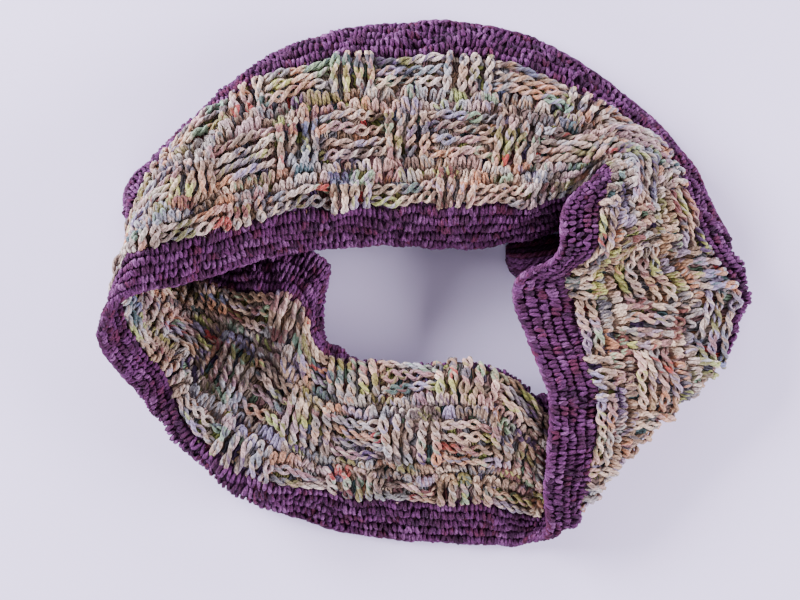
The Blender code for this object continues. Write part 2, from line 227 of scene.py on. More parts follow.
# Short loops: their size, and how uneven they are.
LOOP_YARN = 1.08  # radius of the yarn
LOOP_POINTS = 7
LOOP_HALF = 1.15  # half of a loop's width
LOOP_HALVES = (0.75, 1.25)  # least and most of it, as a share
LOOP_TALL = (4.0, 5.8)
LOOP_HEIGHT = (1.7, 2.6)  # over the middle of the cloth
LOOP_BEND = 2.2  # how late a loop's legs turn into its bend
LOOP_DIP = 4  # how close to its feet a loop dips into the cloth
LOOP_FOOT = 0.55  # share of a loop that stands on the upper side of its row's middle
LOOP_SQUARE = 0.55  # how upright its legs are: 1 is a plain wedge
LOOP_SPREAD = 0.45  # along the row
LOOP_SPREAD_ACROSS = 0.35
LOOP_LEAN = 1.0

# Single crochet: legs that lean apart, in rows.
LEG_YARN = 1.22  # radius of the yarn at the middle of a leg
LEG_POINTS = 4
LEG_APART = 1.15  # from the stitch's middle
LEG_SPLAY = 0.45  # more at the top and less at the foot
LEG_HALF = 2.3  # half of a leg's length
LEG_ARCH = 0.8  # share of its height that a leg loses at its ends
LEG_TOP = 0.1  # where along its half length it is highest
LEG_TAPER = 0.3
LEG_SPREAD = 0.2
LEG_SPREAD_ACROSS = 0.25
LEG_SPREAD_HEIGHT = 0.3
LEG_LEAN = 0.3
BORDER_HEIGHTS = (1.6, 2.2)  # of even and odd rows
BORDER_SHIFT = 0.25  # of the first row, in stitches
EDGE_INSET = 0.9
EDGE_OVERLAP = 0.6  # how far the chain of one stretch runs into the next

# The ground cloth behind the yarn.
GROUND = 0.6  # half its thickness
GROUND_STEP = 3.0
GROUND_LINES = 40
GROUND_INSET = 0.6


def lines_round():
    """The six lines along the loop, smoothed between the sections: samples x 6 x 3.

    They are cubics through the sections. The root of the sections' distances sets their pace, so
    that close sections don't make them overshoot.
    """
    rows = np.array([row[1:] for row in SECTIONS], float)
    points = np.concatenate([rows[-1:], rows, rows[:2]])
    gap = np.linalg.norm(np.diff(points, axis=0), axis=2).mean(axis=1) ** 0.5
    knot = np.concatenate([[0.0], np.cumsum(gap)])
    samples = []
    for i in range(1, len(rows) + 1):
        before, here, after, beyond = points[i - 1 : i + 3]
        t0, t1, t2, t3 = knot[i - 1 : i + 3]
        pace = (after - here) / (t2 - t1)
        leave = (here - before) / (t1 - t0) - (after - before) / (t2 - t0) + pace
        reach = pace - (beyond - here) / (t3 - t1) + (beyond - after) / (t3 - t2)
        for s in np.arange(STEPS_PER_SECTION) / STEPS_PER_SECTION:
            samples.append(
                (2 * s**3 - 3 * s**2 + 1) * here
                + (3 * s**2 - 2 * s**3) * after
                + (t2 - t1) * ((s**3 - 2 * s**2 + s) * leave + (s**3 - s**2) * reach)
            )
    return np.array(samples)


def evenly(line, count):
    """The same line with count points at equal distances along it."""
    along = np.concatenate([[0.0], np.cumsum(np.linalg.norm(np.diff(line, axis=0), axis=1))])
    at = np.linspace(0.0, along[-1], count)
    return np.stack([np.interp(at, along, line[:, axis]) for axis in range(3)], axis=1)


def bell(reach, width):
    """Weights of a normal curve, from -reach to reach."""
    weights = np.exp(-0.5 * (np.arange(-reach, reach + 1) / width) ** 2)
    return weights / weights.sum()


def rounded(line, softness):
    """An open line with its corners rounded and its ends kept."""
    step = np.linalg.norm(np.diff(line, axis=0), axis=1).sum() / (len(line) - 1)
    reach = min(len(line) - 1, int(np.ceil(BELL_REACH * softness / step)))
    head = 2 * line[0] - line[1 : reach + 1][::-1]
    tail = 2 * line[-1] - line[-reach - 1 : -1][::-1]
    padded = np.concatenate([head, line, tail])
    weights = bell(reach, softness / step)
    return np.stack([np.convolve(padded[:, axis], weights, "valid") for axis in range(3)], axis=1)


def settled(points):
    """Cloth near the surface that it lies on is pressed flat against it."""
    z = points[..., 2]
    rise = np.clip((z - FLAT_BELOW) / FLAT_BLEND, 0.0, 1.0)
    ease = rise * rise * (3.0 - 2.0 * rise)
    result = points.copy()
    result[..., 2] = (FLAT_HEIGHT + np.maximum(z - FLAT_BELOW, 0.0)) * (1.0 - ease) + z * ease
    return result


def cloth_surface():
    """The middle of the cloth, its outward normals, and where each section falls round the loop."""
    softened = [rounded(evenly(line, LINE_POINTS), TURN_SOFTNESS) for line in lines_round()]
    across = np.array([evenly(line, WIDTH_POINTS) for line in softened])
    closed = np.concatenate([across, across[:1]])
    length = np.linalg.norm(np.diff(closed, axis=0), axis=2).mean(axis=1)
    along = np.concatenate([[0.0], np.cumsum(length)])
    at = np.arange(RING_POINTS) / RING_POINTS * along[-1]
    before = np.searchsorted(along, at, side="right") - 1
    part = ((at - along[before]) / length[before])[:, None, None]
    even = closed[before] * (1.0 - part) + closed[before + 1] * part
    width = LOOP_SOFTNESS * RING_POINTS / along[-1]
    reach = int(np.ceil(BELL_REACH * width))
    middle = sum(w * np.roll(even, k - reach, axis=0) for k, w in enumerate(bell(reach, width)))
    middle = settled(middle)
    round_it = np.roll(middle, -1, axis=0) - np.roll(middle, 1, axis=0)
    normal = np.cross(round_it, np.gradient(middle, axis=1))
    normal /= np.linalg.norm(normal, axis=2, keepdims=True)
    places = {row.name: along[i * STEPS_PER_SECTION] / along[-1] for i, row in enumerate(SECTIONS)}
    return middle - np.array(ORIGIN), normal, places, along[-1]


MIDDLE, NORMAL, PLACES, LOOP = cloth_surface()
PITCH = LOOP / STITCHES
LOOP_PITCH = LOOP / LOOP_STITCHES
BORDER_PITCH = LOOP / BORDER_STITCHES


def wavy(waves):
    """A smooth uneven function of the places a and b on the cloth, the same after a whole loop."""
    lengths = rng.uniform(waves.shortest, waves.longest, (2, WAVE_COUNT))
    turns = np.round(LOOP / lengths[0]) * rng.choice((-1, 1), WAVE_COUNT)
    phases = rng.uniform(0.0, 2 * np.pi, WAVE_COUNT)
    size = waves.size * (2.0 / WAVE_COUNT) ** 0.5

    def value(a, b):
        angle = 2 * np.pi * (a[..., None] * turns / LOOP + b[..., None] / lengths[1]) + phases
        return size * np.sin(angle).sum(axis=-1)

    return value


drift_round, drift_across, pucker = wavy(DRIFT), wavy(DRIFT), wavy(PUCKER)


def surface(a, b):
    """Middle and normal of the cloth at a millimetres round the loop and b across it, any shape."""
    inner = np.clip(np.minimum(b, WIDTH - b) / BORDER, 0.0, 1.0)
    out = pucker(a, b) * (EDGE_PUCKER + (1.0 - EDGE_PUCKER) * inner)
    a, b = a + drift_round(a, b), b + drift_across(a, b) * inner
    u = (a / LOOP % 1.0) * RING_POINTS
    v = np.clip(b / WIDTH, 0.0, 1.0) * (WIDTH_POINTS - 1)
    i = np.floor(u).astype(int) % RING_POINTS
    j = np.minimum(np.floor(v).astype(int), WIDTH_POINTS - 2)
    s = (u - np.floor(u))[..., None]
    t = (v - j)[..., None]
    k = (i + 1) % RING_POINTS
    both = []
    for grid in (MIDDLE, NORMAL):
        near = grid[i, j] * (1 - t) + grid[i, j + 1] * t
        far = grid[k, j] * (1 - t) + grid[k, j + 1] * t
        both.append(near * (1 - s) + far * s)
    past = (b - np.clip(b, 0.0, WIDTH))[..., None]
    outward = MIDDLE[i, j + 1] - MIDDLE[i, j]
    outward /= np.linalg.norm(outward, axis=-1, keepdims=True)
    normal = both[1] / np.linalg.norm(both[1], axis=-1, keepdims=True)
    return both[0] + outward * past + normal * out[..., None], normal


Strands = namedtuple("Strands", "a b h radius row")
Tubes = namedtuple("Tubes", "points faces ends yarn dye")


def unit(vectors):
    """The vectors at length 1."""
    return vectors / (np.linalg.norm(vectors, axis=-1, keepdims=True) + TINY)


def skins(centre, normal, radius):
    """Points round each strand: strands x points x SIDES x 3."""
    forward = unit(np.gradient(centre, axis=1))
    side = unit(np.cross(normal, forward))
    up = np.cross(forward, side)
    angle = (np.arange(SIDES) / SIDES * 2 * np.pi)[:, None]
    ring = np.cos(angle) * side[:, :, None] + np.sin(angle) * up[:, :, None]
    points = centre[:, :, None] + radius[..., None, None] * ring
    points[..., 2] = np.maximum(points[..., 2], FLOOR_GAP)
    return points


def tubes(strands, face=1, on=surface):
    """Yarn along strands that lie on one face of the cloth: 1 is the outer, -1 the inner.

    The arrays of strands are strands x points: a, b, the height h over the middle of the cloth, and
    the row of stitches. The quads' corners get two pairs of numbers: the place along the yarn and
    round it, and the place round the loop and the row, by which neighbours in a row share their
    colours.
    """
    count, steps = strands.a.shape
    middle, normal = on(strands.a, strands.b)
    centre = middle + normal * (face * strands.h)[..., None]
    radius = strands.radius * rng.uniform(1 - UNEVEN, 1 + UNEVEN, (count, steps))
    points = skins(centre, normal, radius)
    index = np.arange(count * steps * SIDES).reshape(count, steps, SIDES)
    turned = np.roll(index, -1, axis=2)
    quads = np.stack([index[:, :-1], turned[:, :-1], turned[:, 1:], index[:, 1:]], axis=-1)
    lengths = np.linalg.norm(np.diff(centre, axis=1), axis=2)
    along = np.concatenate([np.zeros((count, 1)), np.cumsum(lengths, axis=1)], axis=1)
    along += rng.uniform(0.0, SKEIN, (count, 1))
    round_it = strands.a - LOOP * np.floor(strands.a[:, :1] / LOOP)
    shape = (count, steps - 1, SIDES)
    low = np.broadcast_to(np.arange(SIDES) / SIDES, shape)
    row = np.broadcast_to(strands.row[:, :-1, None], shape)

    def corners_of(places, others, next_others):
        here = np.broadcast_to(places[:, :-1, None], shape)
        there = np.broadcast_to(places[:, 1:, None], shape)
        pairs = [(here, others), (here, next_others), (there, next_others), (there, others)]
        return np.stack([np.stack(pair, -1) for pair in pairs], axis=3).reshape(-1, 2)

    return Tubes(
        points.reshape(-1, 3),
        quads.reshape(-1, 4),
        np.concatenate([index[:, 0, ::-1], index[:, -1]]),
        corners_of(along, low, low + 1 / SIDES),
        corners_of(round_it, row, row),
    )


def joined(parts):
    """Several sets of tubes as one."""
    shift = np.cumsum([0] + [len(part.points) for part in parts])
    return Tubes(
        np.concatenate([part.points for part in parts]),
        np.concatenate([part.faces + k for part, k in zip(parts, shift)]),
        np.concatenate([part.ends + k for part, k in zip(parts, shift)]),
        np.concatenate([part.yarn for part in parts]),
        np.concatenate([part.dye for part in parts]),
    )


def mesh_object(name, points, face_sizes, order, layers, material):
    """A smooth mesh. layers gives pairs of numbers at the faces' corners, by the layer's name."""
    mesh = bpy.data.meshes.new(name)
    mesh.vertices.add(len(points))
    mesh.vertices.foreach_set("co", (points * MM).astype(np.float32).ravel())
    mesh.loops.add(len(order))
    mesh.loops.foreach_set("vertex_index", order.astype(np.int32))
    mesh.polygons.add(len(face_sizes))
    starts = np.concatenate([[0], np.cumsum(face_sizes)[:-1]])
    mesh.polygons.foreach_set("loop_start", starts.astype(np.int32))
    mesh.update(calc_edges=True)
    for layer_name, pairs in layers.items():
        layer = mesh.uv_layers.new(name=layer_name)
        layer.data.foreach_set("uv", pairs.astype(np.float32).ravel())
    mesh.validate()
    mesh.shade_smooth()
    mesh.materials.append(material)
    piece = bpy.data.objects.new(name, mesh)
    bpy.context.scene.collection.objects.link(piece)
    return piece


def yarn_object(name, parts, material):
    """One mesh from sets of tubes."""
    yarn = joined(parts)
    face_sizes = np.concatenate([np.full(len(yarn.faces), 4), np.full(len(yarn.ends), SIDES)])
    order = np.concatenate([yarn.faces.ravel(), yarn.ends.ravel()])
    blank = np.zeros((yarn.ends.size, 2))
    layers = {"yarn": np.concatenate([yarn.yarn, blank]), "dye": np.concatenate([yarn.dye, blank])}
    return mesh_object(name, yarn.points, face_sizes, order, layers, material)


# The stitches, as strands along the cloth.
def eased(t, start, end):
    """0 before start, 1 after end, smooth between."""
    s = np.clip((t - start) / (end - start), 0.0, 1.0)
    return s * s * (3.0 - 2.0 * s)


def wandering(wander, t, shape):
    """Slow waves along t, as many as shape says."""
    return wander.size * np.sin(t / wander.reach + rng.uniform(0.0, 2 * np.pi, shape))


def twisted(twist, length, pitch, phases):
    """Pairs of strands twisted together along a line, one pair for each phase.

    Returns the distance along the line, the offset to its side and the height of each strand.
    """
    count = len(phases)
    t = np.linspace(0.0, length, max(TWIST_POINTS, int(length / twist.step) + 1))
    strand = np.array([0.0, 1.0])
    turn = np.pi * (t[None, None, :] / pitch + phases[:, None, None] + strand[None, :, None])
    wide = twist.swing * rng.uniform(*SWINGS, (count, 1, 1))
    wander = wandering(PAIR_WANDER, t, (count, 1, 1))
    wander = wander + wandering(STRAND_WANDER, t, (count, 2, 1))
    offset = wander - wide * np.cos(turn)
    raised = twist.height + twist.lift * np.sin(turn) + rng.normal(0.0, LIFT_SPREAD, (count, 2, 1))
    raised = raised * eased(t, 0.0, twist.dip) * (1.0 - eased(t, length - twist.dip, length))
    shape = (2 * count, len(t))
    return [np.broadcast_to(x, offset.shape).reshape(shape) for x in (t, offset, raised)]


def body_row(b):
    """The row of the body that a place across the cloth is in."""
    return np.floor((b - BORDER) / ROW)


def rope_block(start, stitches, rows):
    """The ropes of one block, which lie along the loop, one for each row."""
    length = stitches * PITCH + 2 * ROPE_OVERLAP
    t, offset, h = twisted(ROPE, length, PITCH, rng.uniform(-ROPE_PHASE, ROPE_PHASE, len(rows)))
    row = np.repeat(rows, 2)[:, None]
    b = BORDER + (row + 0.5) * ROW + rng.normal(0.0, ROPE_SPREAD, (len(t), 1))
    row = np.broadcast_to(row, t.shape)
    return Strands(start - ROPE_OVERLAP + t, b + offset, h, ROPE.radius, row)


def post_block(start, stitches, rows):
    """The posts of one block, which stand across the cloth."""
    low = BORDER + rows[0] * ROW - POST_OVERLAP
    length = len(rows) * ROW + 2 * POST_OVERLAP
    t, offset, h = twisted(POST, length, ROW * rng.choice(POST_TURNS), rng.uniform(0, 1, stitches))
    stitch = np.repeat(np.arange(stitches), 2)[:, None]
    a = start + (stitch + 0.5) * PITCH + rng.normal(0, POST_SPREAD, (len(t), 1))
    return Strands(a + POST_SWING * offset, low + t, h, POST.radius, body_row(low + t))


def short_loops(start, count, row):
    """A row of short loops that stand across the cloth, with their bends towards the base edge."""
    t = np.linspace(-1.0, 1.0, LOOP_POINTS)
    each = (count, 1)
    bend = 1.0 - np.abs(t) ** LOOP_BEND
    a = start + np.arange(count)[:, None] * LOOP_PITCH + rng.normal(0.0, LOOP_SPREAD, each)
    half = LOOP_HALF * rng.uniform(*LOOP_HALVES, each)
    leg = half * np.sign(t) * np.abs(t) ** LOOP_SQUARE
    around = a + leg + bend * rng.normal(0.0, LOOP_LEAN, each)
    middle = BORDER + (row + 0.5) * ROW
    tall = rng.uniform(*LOOP_TALL, each)
    across = middle - tall * (bend - LOOP_FOOT) + rng.normal(0.0, LOOP_SPREAD_ACROSS, each)
    h = rng.uniform(*LOOP_HEIGHT, each) * (1.0 - np.abs(t) ** LOOP_DIP)
    return Strands(around, across, h, LOOP_YARN, np.full(around.shape, row))


def legs(start, count, middle, outward, height, row):
    """A row of single crochet: two legs to a stitch, further apart towards the free edge."""
    t = np.linspace(-1.0, 1.0, LEG_POINTS)
    each = (2 * count, 1)
    stitch = np.repeat(np.arange(count), 2)[:, None]
    a = start + stitch * BORDER_PITCH + rng.normal(0.0, LEG_SPREAD, each)
    hand = np.tile([-1.0, 1.0], count)[:, None]
    lean = rng.normal(0.0, LEG_LEAN, each)
    around = a + hand * (LEG_APART + LEG_SPLAY * t) + rng.normal(0.0, LEG_SPREAD, each) + lean * t
    across = middle + outward * (LEG_HALF * t + rng.normal(0.0, LEG_SPREAD_ACROSS, each))
    arch = 1.0 - LEG_ARCH * (t - LEG_TOP) ** 2
    h = height * arch + rng.normal(0.0, LEG_SPREAD_HEIGHT, each)
    radius = LEG_YARN * (1.0 - LEG_TAPER * t**2) * np.ones(each)
    return Strands(around, across, h, radius, np.full(around.shape, row))


def edge_chain(first, last, middle, row):
    """A twisted chain along a border's free edge."""
    t, offset, h = twisted(EDGE_CHAIN, last - first, BORDER_PITCH, rng.uniform(0, 1, 1))
    return Strands(first + t, middle + offset, h, EDGE_CHAIN.radius, np.full(t.shape, row))


def stitches_within(first, last, pitch, shift):
    """Place of the first stitch between two places round the loop, and the number of stitches."""
    low = int(np.ceil(first / pitch - shift))
    high = int(np.ceil(last / pitch - shift))
    return (low + shift) * pitch, high - low


def body_yarn(first, last):
    """Bands of blocks, posts beside ropes, with rows of short loops between the bands."""
    parts = []
    repeat = LOOP / REPEATS
    for face in (1, -1):
        for band, (low, high) in enumerate(BANDS):
            rows = np.arange(low, high)
            start, count = stitches_within(first, last, repeat, HALF * (band % 2) + BLOCK_SHIFT)
            for k in range(count):
                at = start + k * repeat
                posts_first = at if face > 0 else at + POSTS * PITCH
                ropes_first = at + POSTS * PITCH if face > 0 else at
                posts = POSTS if face > 0 else IN_REPEAT - POSTS
                parts.append(tubes(post_block(posts_first, posts, rows), face))
                parts.append(tubes(rope_block(ropes_first, IN_REPEAT - posts, rows), face))
        for row in LOOP_ROWS:
            start, count = stitches_within(first, last, LOOP_PITCH, HALF * (row % 2))
            parts.append(tubes(short_loops(start, count, row), face))
    return parts


def border_yarn(first, last, upper):
    """Rows of single crochet on both faces, every other one proud, and a chain along the edge."""
    side = 1 if upper else -1
    edge = WIDTH if upper else 0.0
    ends = (first - EDGE_OVERLAP, last + EDGE_OVERLAP)
    parts = [tubes(edge_chain(*ends, edge - side * EDGE_INSET, side * EDGE_DYE_ROW))]
    for face in (1, -1):
        for row in range(BORDER_ROWS):
            odd = row % 2
            start, count = stitches_within(first, last, BORDER_PITCH, BORDER_SHIFT + HALF * odd)
            middle = edge - side * (row + 0.5) * BORDER / BORDER_ROWS
            dye_row = side * (BORDER_DYE_ROW + row)
            stitches = legs(start, count, middle, side, BORDER_HEIGHTS[odd], dye_row)
            parts.append(tubes(stitches, face))
    return parts


def closed_skin(top, under):
    """Points and quads of a closed solid between two like grids."""
    columns, rows = top.shape[:2]
    index = np.arange(columns * rows).reshape(columns, rows)
    upper = np.stack([index[:-1, :-1], index[1:, :-1], index[1:, 1:], index[:-1, 1:]], -1)
    upper = upper.reshape(-1, 4)
    rim = np.concatenate([index[:-1, 0], index[-1, :-1], index[:0:-1, -1], index[0, :0:-1]])
    following = np.roll(rim, -1)
    below = columns * rows
    side = np.stack([following, rim, rim + below, following + below], -1)
    points = np.concatenate([top.reshape(-1, 3), under.reshape(-1, 3)])
    points[:, 2] = np.maximum(points[:, 2], FLOOR_GAP)
    return points, np.concatenate([upper, upper[:, ::-1] + below, side])


def ground_cloth(name, first, last, materials):
    """The thin cloth behind the yarn of one stretch, closed all round."""
    columns = int((last - first) / GROUND_STEP) + 1
    round_it = np.linspace(first, last, columns)
    across = np.linspace(GROUND_INSET, WIDTH - GROUND_INSET, GROUND_LINES)
    a, b = np.meshgrid(round_it, across, indexing="ij")
    middle, normal = surface(a, b)
    points, quads = closed_skin(middle + normal * GROUND, middle - normal * GROUND)
    places = np.stack([a.ravel(), b.ravel()], -1)
    layers = {"dye": np.concatenate([places, places])[quads.ravel()]}
    face_sizes = np.full(len(quads), 4)
    piece = mesh_object(name, points, face_sizes, quads.ravel(), layers, materials[0])
    piece.data.materials.append(materials[1])
    face_b = np.concatenate([b.ravel(), b.ravel()])[quads].mean(axis=1)
    in_border = (face_b < BORDER) | (face_b > WIDTH - BORDER)
    piece.data.polygons.foreach_set("material_index", in_border.astype(np.int32))
    return piece


# The fold of the lower layer that lies on the surface under the pleat, as in the part's source.
TuckRow = namedtuple("TuckRow", "x south north height")
TUCK_ROWS = [
    TuckRow(39, 14, 21, 5.0),
    TuckRow(41, 7, 23, 6.5),
    TuckRow(46, 3, 25, 8.0),
    TuckRow(54, 3, 26, 8.5),
    TuckRow(62, 5, 27, 8.5),
    TuckRow(70, 8, 28, 8.0),
    TuckRow(77, 13, 28, 6.0),
    TuckRow(81, 18, 26, 4.0),
]
TUCK_EDGE = 0.45  # height of the fold's edge as a share of its full height
TUCK_SLOPE = 0.9  # of its sides
TUCK_LINES = 6
TUCK_POINTS = 40  # of a line
TUCK_MARGIN = 0.04  # left free at a line's ends, as a share
TUCK_MARGIN_ACROSS = 0.08
TUCK_TURNS = 12.0  # half turns of the twist
TUCK_SWING = 0.035  # of the twist, as a share of the fold's width
TUCK_SINK = 0.6  # depth of the strands' middle in the fold's skin
TUCK_LIFT = 0.5
TUCK_CORE_SINK = 1.2  # depth of the core under the fold's skin
TUCK_CORE_GRID = (24, 12)


def tuck_surface(a, b):
    """Middle and normal of the fold's yarn at shares a along it and b across it."""
    rows = np.array(TUCK_ROWS, float)
    at = a * (len(rows) - 1)
    x, south, north, height = (np.interp(at, np.arange(len(rows)), column) for column in rows.T)
    crown = TUCK_EDGE + (1.0 - TUCK_EDGE) * np.sin(np.pi * b)
    place = np.stack([x, south + (north - south) * b, height * crown], -1) - np.array(ORIGIN)
    slope = TUCK_SLOPE * np.cos(np.pi * b)
    normal = np.stack([np.zeros_like(slope), -slope, np.ones_like(slope)], -1)
    return place, normal / np.linalg.norm(normal, axis=-1, keepdims=True)


def tuck_yarn(material, core_material):
    """The hidden fold: twisted lines of yarn over a closed core that is flat where it rests."""
    parts = []
    strand = np.array([[0.0], [1.0]])
    line_width = (1.0 - 2 * TUCK_MARGIN_ACROSS) / TUCK_LINES
    for line in range(TUCK_LINES):
        t = np.linspace(TUCK_MARGIN, 1.0 - TUCK_MARGIN, TUCK_POINTS)[None, :].repeat(2, axis=0)
        turn = np.pi * (TUCK_TURNS * t + strand + rng.uniform(0, 1))
        b = TUCK_MARGIN_ACROSS + line_width * (line + 0.5) - TUCK_SWING * np.cos(turn)
        h = TUCK_LIFT * np.sin(turn) - TUCK_SINK
        row = np.full(t.shape, TUCK_DYE_ROW + line)
        parts.append(tubes(Strands(t, b, h, LEG_YARN, row), on=tuck_surface))
    piece = yarn_object("yarn_pleat_tuck", parts, material)
    a, b = np.meshgrid(*(np.linspace(0.0, 1.0, count) for count in TUCK_CORE_GRID), indexing="ij")
    top = tuck_surface(a, b)[0]
    top[..., 2] -= TUCK_CORE_SINK
    points, quads = closed_skin(top, top * (1.0, 1.0, 0.0))
    layers = {"dye": points[quads.ravel(), :2]}
    face_sizes = np.full(len(quads), 4)
    core = mesh_object("core_pleat_tuck", points, face_sizes, quads.ravel(), layers, core_material)
    return piece, core


# Materials. A look gives the length over which a row keeps its colour, the share of the second
# colour in the yarn, the strength of the colours, the sheen, and how far stretches of the cloth
# lean to a cool or a warm tint.
YarnLook = namedtuple("YarnLook", "run other_ply bright sheen pooling")
MIXED_LOOK = YarnLook(11.0, 0.85, 0.81, 0.15, 1.0)
PLUM_LOOK = YarnLook(6.0, 0.8, 0.75, 0.0, 0.0)
# The ground cloth's colours are weaker than the strands': painted shade in the gaps between the
# strands.
MIXED_GROUND_BRIGHT = 0.65
PLUM_GROUND_BRIGHT = 0.7

YARN_ROUGHNESS = 0.85
SHEEN_ROUGHNESS = 0.5
YARN_SPECULAR = 0.2

# A pattern of light and dark spots: its noise's scale, per metre, and detail, and the least and
# most strength of colour in it.
Spots = namedtuple("Spots", "scale detail dark light")
FLECKS = Spots(1100.0, 3.0, 0.56, 1.36)
TONES = Spots(140.0, 2.0, 0.76, 1.16)
GROUND_FLECKS = Spots(900.0, 3.0, 0.6, 1.3)
NOISE_RANGE = (0.3, 0.7)  # nearly all of a noise's values

# The dyes along a row.
RUN_WARP = 3.0  # how far uneven dyeing moves the changes of colour, in runs
RUN_WARP_SCALE = 0.045  # per millimetre
SECOND_COLOUR_STEP = 57.0  # runs further on, where the second colour is read
CHANGE_FROM = 0.75  # of a run; there one colour starts to pass into the next
POOL_SCALE = 26.0  # per metre
POOL_RANGE = (0.42, 0.58)
COOL_TINT = (0.94, 0.98, 1.10, 1.0)
WARM_TINT = (1.09, 1.00, 0.92, 1.0)

# The plies.
PLY_TURN = 9.0  # length of yarn in which its plies turn once
PLY_RANGE = (0.35, 0.75)  # of the sine of the turn, where the second colour comes in
GROOVES = 3  # in a turn
# Painted shade in the grooves between the plies: the colour keeps GROOVE_SHADE of its strength at a
# groove's bottom and is full from GROOVE_WIDTH of the way to a ply's crest.
GROOVE_WIDTH = 0.7
GROOVE_SHADE = 0.6
FIBRE_SCALE = 2600.0  # per metre
FIBRE_HEIGHT = 0.5  # against the grooves' depth
Bump = namedtuple("Bump", "strength distance")
YARN_BUMP = Bump(0.8, 0.0004)

# The ground cloth's wound yarn.
GROUND_YARN = 1.9  # width of one winding
GROUND_RUN = 3.8
GROUND_WARP = 5.0
GROUND_WARP_SCALE = 260.0  # per metre
# Painted shade between the windings: where they meet, the colour keeps this share of its strength.
GROUND_GROOVE_SHADE = 0.2
GROUND_BUMP = Bump(1.0, 0.001)


def nodes_of(name, sheen=0.0):
    """A new material, its tree and its shader, matt as wool."""
    material = bpy.data.materials.new(name)
    material.use_nodes = True
    tree = material.node_tree
    shader = tree.nodes["Principled BSDF"]
    shader.inputs["Roughness"].default_value = YARN_ROUGHNESS
    shader.inputs["Sheen Weight"].default_value = sheen
    shader.inputs["Sheen Roughness"].default_value = SHEEN_ROUGHNESS
    shader.inputs["Specular IOR Level"].default_value = YARN_SPECULAR
    return material, tree, shader


# The colours among the sockets of a mix node.
MIX_FIRST = 6
MIX_SECOND = 7
MIX_RESULT = 2


class Maker:
    """Short ways to add and link nodes of one tree."""

    def __init__(self, tree):
        self.tree = tree

    def link(self, value, socket):
        """Links another node's socket, or sets a number or colour."""
        if isinstance(value, bpy.types.NodeSocket):
            self.tree.links.new(value, socket)
        else:
            socket.default_value = value

    def math(self, operation, *values):
        node = self.tree.nodes.new("ShaderNodeMath")
        node.operation = operation
        for value, socket in zip(values, node.inputs):
            self.link(value, socket)
        return node.outputs[0]

    def ramp(self, factor, stops):
        """The colour of the last stop that the factor has passed."""
        node = self.tree.nodes.new("ShaderNodeValToRGB")
        node.color_ramp.interpolation = "CONSTANT"
        elements = node.color_ramp.elements
        while len(elements) < len(stops):
            elements.new(0.5)
        for element, stop in zip(elements, stops):
            element.position = stop[0]
        for element, stop in zip(elements, stops):
            element.color = (*stop[1], 1.0)
        self.link(factor, node.inputs[0])
        return node.outputs[0]

    def mix(self, factor, first, second, blend="MIX"):
        node = self.tree.nodes.new("ShaderNodeMix")
        node.data_type = "RGBA"
        node.blend_type = blend
        self.link(factor, node.inputs[0])
        self.link(first, node.inputs[MIX_FIRST])
        self.link(second, node.inputs[MIX_SECOND])
        return node.outputs[MIX_RESULT]

    def pair(self, layer):
        """The two numbers of a layer of the mesh."""
        uv = self.tree.nodes.new("ShaderNodeUVMap")
        uv.uv_map = layer
        parts = self.tree.nodes.new("ShaderNodeSeparateXYZ")
        self.link(uv.outputs["UV"], parts.inputs[0])
        return parts.outputs[0], parts.outputs[1]

    def vector(self, x, y):
        node = self.tree.nodes.new("ShaderNodeCombineXYZ")
        self.link(x, node.inputs[0])
        self.link(y, node.inputs[1])
        return node.outputs[0]

    def white(self, vector):
        """A random number for each place."""
        node = self.tree.nodes.new("ShaderNodeTexWhiteNoise")
        node.noise_dimensions = "2D"
        self.link(vector, node.inputs["Vector"])
        return node.outputs["Value"]

    def noise(self, scale, detail, vector=None):
        node = self.tree.nodes.new("ShaderNodeTexNoise")
        node.inputs["Scale"].default_value = scale
        node.inputs["Detail"].default_value = detail
        if vector is None:
            vector = self.tree.nodes.new("ShaderNodeTexCoord").outputs["Object"]
        self.link(vector, node.inputs["Vector"])
        return node.outputs["Fac"]

    def span(self, value, low, high, to_low=0.0, to_high=1.0):
        """The value carried from one range to another, and held within it."""
        node = self.tree.nodes.new("ShaderNodeMapRange")
        node.clamp = True
        for socket, number in zip(node.inputs[1:5], (low, high, to_low, to_high)):
            socket.default_value = number
        self.link(value, node.inputs[0])
        return node.outputs[0]

    def spots(self, spots):
        """A pattern of spots, as a strength of colour."""
        noise = self.noise(spots.scale, spots.detail)
        return self.span(noise, *NOISE_RANGE, spots.dark, spots.light)

    def bump(self, height, bump):
        node = self.tree.nodes.new("ShaderNodeBump")
        node.inputs["Strength"].default_value = bump.strength
        node.inputs["Distance"].default_value = bump.distance
        self.link(height, node.inputs["Height"])
        return node.outputs[0]

    def shade(self, colour, factor):
        """The colour times a number."""
        grey = self.tree.nodes.new("ShaderNodeCombineColor")
        for socket in grey.inputs:
            self.link(factor, socket)
        return self.mix(1.0, colour, grey.outputs[0], "MULTIPLY")


def srgb(red, green, blue):
    """A colour given as 0 to 255 in sRGB, made linear with that standard's numbers."""
    channels = []
    for value in (red, green, blue):
        c = value / 255
        channels.append(c / 12.92 if c <= 0.04045 else ((c + 0.055) / 1.055) ** 2.4)
    return tuple(channels)


